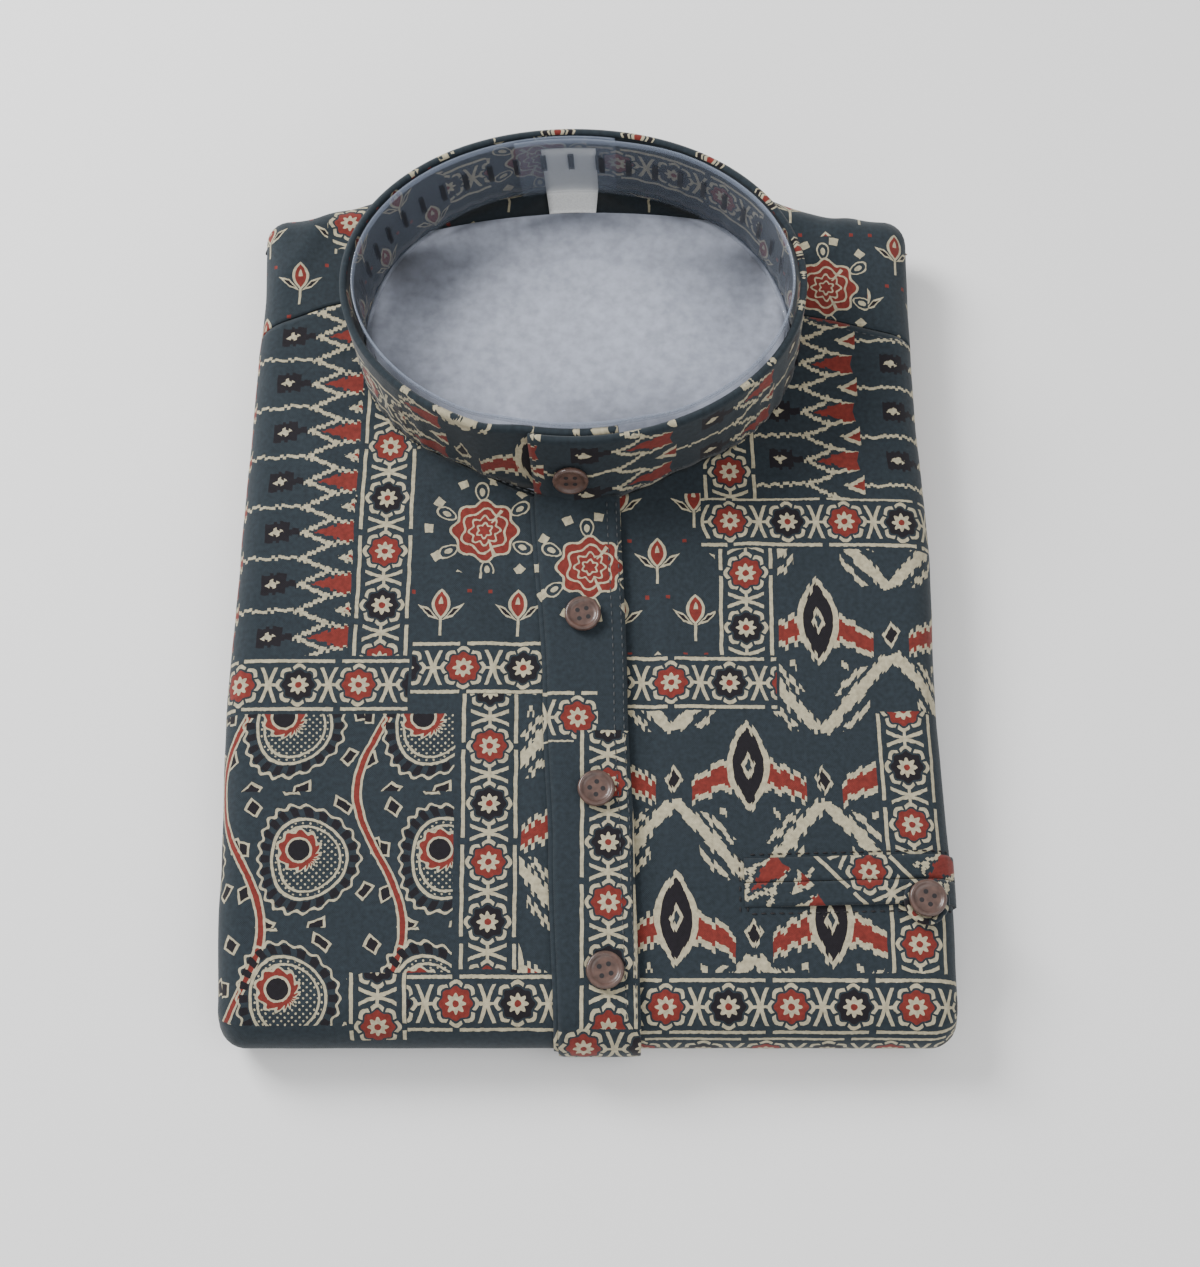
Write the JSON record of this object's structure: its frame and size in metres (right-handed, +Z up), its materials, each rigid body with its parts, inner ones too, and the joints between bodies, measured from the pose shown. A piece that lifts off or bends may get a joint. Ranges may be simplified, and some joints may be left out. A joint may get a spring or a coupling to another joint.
{
  "type": "folded kurta tunic with stand collar, on a clear collar strip and packing sheet",
  "caption": "Cotton kurta tunic folded flat, with a stand collar, buttoned placket, welt pocket, clear collar strip and a packing sheet in the neck.",
  "frame": {"origin": "centre of the bounding box's base, on the surface that the folded tunic lies on", "axes": "+Z up out of the front, +Y towards the shoulders, +X towards the wearer's left"},
  "size_m": [0.2452, 0.3356, 0.0591],
  "materials": {
    "print_cotton": "matt plain-weave cotton, printed",
    "print_cotton_layers": "matt plain-weave cotton, printed",
    "packing_sheet": "matt nonwoven sheet with fine fibres",
    "clear_strip": "clear, slightly hazy film",
    "white_tape": "white twill tape, bare",
    "coconut_wood": "satin turned coconut shell"
  },
  "bodies": {
    "root": {"folded_layers": "print_cotton_layers", "front_right": "print_cotton", "front_left": "print_cotton", "yoke": "print_cotton", "back_yoke_inside": "print_cotton", "placket_under_band": "print_cotton", "placket_band": "print_cotton", "collar_band": "print_cotton", "pocket_welt_upper": "print_cotton", "pocket_welt_lower": "print_cotton", "pocket_loop": "print_cotton", "packing_sheet": "packing_sheet", "collar_support": "clear_strip", "neck_label": "white_tape", "button_collar": "coconut_wood", "button_placket_1": "coconut_wood", "button_placket_2": "coconut_wood", "button_placket_3": "coconut_wood", "button_pocket": "coconut_wood"}
  },
  "joints": []
}
